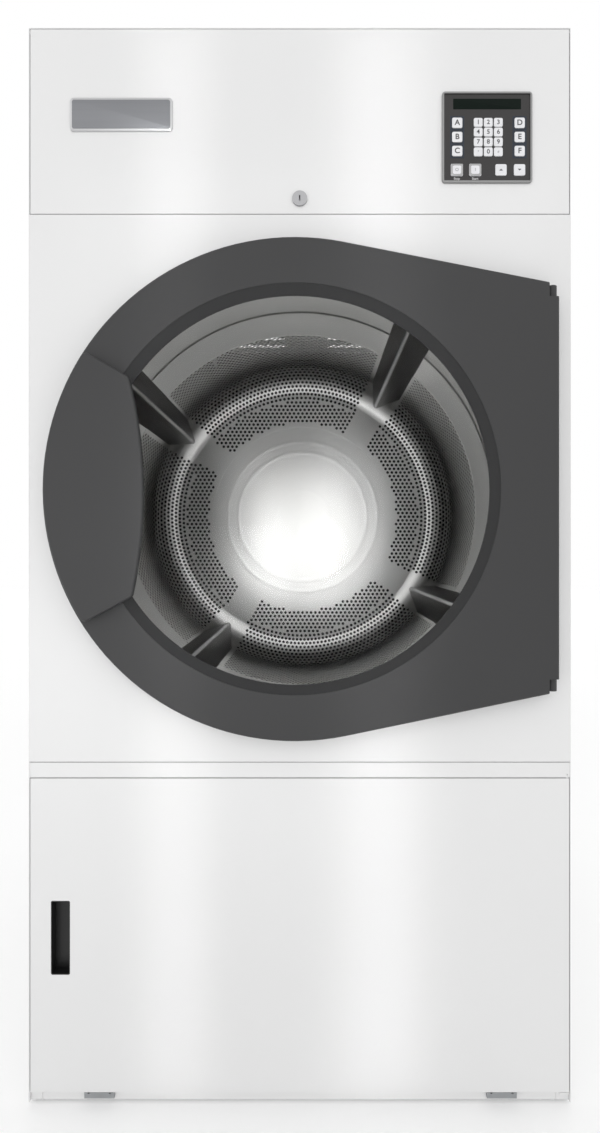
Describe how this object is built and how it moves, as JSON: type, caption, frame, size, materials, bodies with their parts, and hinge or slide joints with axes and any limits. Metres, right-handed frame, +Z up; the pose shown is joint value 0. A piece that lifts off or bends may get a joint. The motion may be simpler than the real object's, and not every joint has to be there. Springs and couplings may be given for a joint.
{
  "type": "tumble dryer",
  "caption": "Commercial front-loading tumble dryer: white cabinet, round glazed door, perforated drum with lifters, belt drive, blower, tilting control panel with keypad and lower lint door",
  "frame": {"origin": "on the floor under the middle of the machine", "axes": "X to the right seen from the front, Y to the rear, Z up"},
  "size_m": [0.978, 1.314, 1.943],
  "materials": {
    "white_paint": "gloss",
    "door_grey": "satin",
    "hinge_grey": "satin",
    "door_glass": "clear",
    "stainless": "brushed",
    "galvanised": "matt zinc",
    "cast_grey": "machined",
    "dark_steel": "oiled",
    "motor_paint": "satin",
    "black_rubber": "matt",
    "grey_plastic": "matt",
    "keypad_grey": "matt",
    "black_plastic": "matt",
    "key_white": "satin",
    "key_blue": "satin",
    "key_silver": "satin",
    "chrome": "polished"
  },
  "bodies": {
    "cabinet": {"base_frame": "white_paint", "levelling_feet": "dark_steel", "base_tabs": "grey_plastic", "left_side_panel": "white_paint", "right_side_panel": "white_paint", "rear_panel": "galvanised", "top_cover": "white_paint", "front_panel": "white_paint", "front_rail": "white_paint", "control_tray": "galvanised", "door_collar": "stainless", "drum_shroud": "galvanised", "rear_bulkhead": "galvanised", "bearing_housings": "cast_grey", "drive_motor": "motor_paint", "blower_housing": "galvanised", "heater_box": "galvanised", "hinge_brackets": "hinge_grey", "door_catch": "dark_steel", "panel_screws": "dark_steel", "drive_belts": "black_rubber"},
    "door": {"door_ring": "door_grey", "door_glass": "door_glass", "door_gasket": "black_rubber", "door_handle": "door_grey"},
    "drum": {"drum_shell": "stainless", "drum_ribs": "stainless", "drum_shaft": "dark_steel", "drum_pulley": "cast_grey"},
    "idler": {"idler_pulley": "cast_grey"},
    "rotor": {"motor_pulley": "dark_steel", "fan_wheel": "galvanised"},
    "control_flap": {"control_panel": "white_paint", "keypad_housing": "keypad_grey"},
    "lock": {"lock_cylinder": "chrome"},
    "service_door": {"lower_door": "white_paint", "pull_cup": "black_plastic"},
    "lint_tray": {"lint_drawer": "galvanised"},
    "key_a_body": {"key_a": "key_blue"},
    "key_b_body": {"key_b": "key_blue"},
    "key_c_body": {"key_c": "key_blue"},
    "key_d_body": {"key_d": "key_blue"},
    "key_e_body": {"key_e": "key_blue"},
    "key_f_body": {"key_f": "key_blue"},
    "key_1_body": {"key_1": "key_white"},
    "key_2_body": {"key_2": "key_white"},
    "key_3_body": {"key_3": "key_white"},
    "key_4_body": {"key_4": "key_white"},
    "key_5_body": {"key_5": "key_white"},
    "key_6_body": {"key_6": "key_white"},
    "key_7_body": {"key_7": "key_white"},
    "key_8_body": {"key_8": "key_white"},
    "key_9_body": {"key_9": "key_white"},
    "key_star_body": {"key_star": "key_white"},
    "key_0_body": {"key_0": "key_white"},
    "key_hash_body": {"key_hash": "key_white"},
    "key_stop_body": {"key_stop": "key_silver"},
    "key_start_body": {"key_start": "key_silver"},
    "key_up_body": {"key_up": "key_white"},
    "key_down_body": {"key_down": "key_white"}
  },
  "joints": [
    {"name": "door_swing", "type": "hinge", "parent": "cabinet", "child": "door", "pos_m": [0.445, -0.619, 1.109], "axis": [0, 0, 1], "range_deg": [0, 170]},
    {"name": "drum_spin", "type": "hinge", "parent": "cabinet", "child": "drum", "pos_m": [-0.008, 0.3, 1.107], "axis": [0, 1, 0], "continuous": true},
    {"name": "idler_spin", "type": "hinge", "parent": "cabinet", "child": "idler", "pos_m": [-0.15, 0.45, 0.62], "axis": [0, 1, 0], "continuous": true},
    {"name": "rotor_spin", "type": "hinge", "parent": "cabinet", "child": "rotor", "pos_m": [-0.12, 0.45, 0.27], "axis": [0, 1, 0], "continuous": true},
    {"name": "control_lift", "type": "hinge", "parent": "cabinet", "child": "control_flap", "pos_m": [0, -0.592, 1.937], "axis": [-1, 0, 0], "range_deg": [0, 75]},
    {"name": "lock_turn", "type": "hinge", "parent": "control_flap", "child": "lock", "pos_m": [0, -0.595, 1.634], "axis": [0, 1, 0], "range_deg": [0, 90]},
    {"name": "lower_door_swing", "type": "hinge", "parent": "cabinet", "child": "service_door", "pos_m": [0.483, -0.592, 0.305], "axis": [0, 0, 1], "range_deg": [0, 110]},
    {"name": "lint_tray_slide", "type": "slide", "parent": "cabinet", "child": "lint_tray", "axis": [0, -1, 0], "range_m": [0, 0.288]},
    {"name": "press_a", "type": "slide", "parent": "control_flap", "child": "key_a_body", "axis": [0, 1, 0], "range_m": [0, 0.0008], "stiffness_N_per_m": 1200},
    {"name": "press_b", "type": "slide", "parent": "control_flap", "child": "key_b_body", "axis": [0, 1, 0], "range_m": [0, 0.0008], "stiffness_N_per_m": 1200},
    {"name": "press_c", "type": "slide", "parent": "control_flap", "child": "key_c_body", "axis": [0, 1, 0], "range_m": [0, 0.0008], "stiffness_N_per_m": 1200},
    {"name": "press_d", "type": "slide", "parent": "control_flap", "child": "key_d_body", "axis": [0, 1, 0], "range_m": [0, 0.0008], "stiffness_N_per_m": 1200},
    {"name": "press_e", "type": "slide", "parent": "control_flap", "child": "key_e_body", "axis": [0, 1, 0], "range_m": [0, 0.0008], "stiffness_N_per_m": 1200},
    {"name": "press_f", "type": "slide", "parent": "control_flap", "child": "key_f_body", "axis": [0, 1, 0], "range_m": [0, 0.0008], "stiffness_N_per_m": 1200},
    {"name": "press_1", "type": "slide", "parent": "control_flap", "child": "key_1_body", "axis": [0, 1, 0], "range_m": [0, 0.0008], "stiffness_N_per_m": 1200},
    {"name": "press_2", "type": "slide", "parent": "control_flap", "child": "key_2_body", "axis": [0, 1, 0], "range_m": [0, 0.0008], "stiffness_N_per_m": 1200},
    {"name": "press_3", "type": "slide", "parent": "control_flap", "child": "key_3_body", "axis": [0, 1, 0], "range_m": [0, 0.0008], "stiffness_N_per_m": 1200},
    {"name": "press_4", "type": "slide", "parent": "control_flap", "child": "key_4_body", "axis": [0, 1, 0], "range_m": [0, 0.0008], "stiffness_N_per_m": 1200},
    {"name": "press_5", "type": "slide", "parent": "control_flap", "child": "key_5_body", "axis": [0, 1, 0], "range_m": [0, 0.0008], "stiffness_N_per_m": 1200},
    {"name": "press_6", "type": "slide", "parent": "control_flap", "child": "key_6_body", "axis": [0, 1, 0], "range_m": [0, 0.0008], "stiffness_N_per_m": 1200},
    {"name": "press_7", "type": "slide", "parent": "control_flap", "child": "key_7_body", "axis": [0, 1, 0], "range_m": [0, 0.0008], "stiffness_N_per_m": 1200},
    {"name": "press_8", "type": "slide", "parent": "control_flap", "child": "key_8_body", "axis": [0, 1, 0], "range_m": [0, 0.0008], "stiffness_N_per_m": 1200},
    {"name": "press_9", "type": "slide", "parent": "control_flap", "child": "key_9_body", "axis": [0, 1, 0], "range_m": [0, 0.0008], "stiffness_N_per_m": 1200},
    {"name": "press_star", "type": "slide", "parent": "control_flap", "child": "key_star_body", "axis": [0, 1, 0], "range_m": [0, 0.0008], "stiffness_N_per_m": 1200},
    {"name": "press_0", "type": "slide", "parent": "control_flap", "child": "key_0_body", "axis": [0, 1, 0], "range_m": [0, 0.0008], "stiffness_N_per_m": 1200},
    {"name": "press_hash", "type": "slide", "parent": "control_flap", "child": "key_hash_body", "axis": [0, 1, 0], "range_m": [0, 0.0008], "stiffness_N_per_m": 1200},
    {"name": "press_stop", "type": "slide", "parent": "control_flap", "child": "key_stop_body", "axis": [0, 1, 0], "range_m": [0, 0.0008], "stiffness_N_per_m": 1200},
    {"name": "press_start", "type": "slide", "parent": "control_flap", "child": "key_start_body", "axis": [0, 1, 0], "range_m": [0, 0.0008], "stiffness_N_per_m": 1200},
    {"name": "press_up", "type": "slide", "parent": "control_flap", "child": "key_up_body", "axis": [0, 1, 0], "range_m": [0, 0.0008], "stiffness_N_per_m": 1200},
    {"name": "press_down", "type": "slide", "parent": "control_flap", "child": "key_down_body", "axis": [0, 1, 0], "range_m": [0, 0.0008], "stiffness_N_per_m": 1200}
  ],
  "couplings": [
    {"joint": "idler_spin", "follows": "drum_spin", "ratio": 7.3684},
    {"joint": "rotor_spin", "follows": "drum_spin", "ratio": 27.632},
    {"joint": "lint_tray_slide", "follows": "lower_door_swing", "m_per_rad": 0.15}
  ]
}
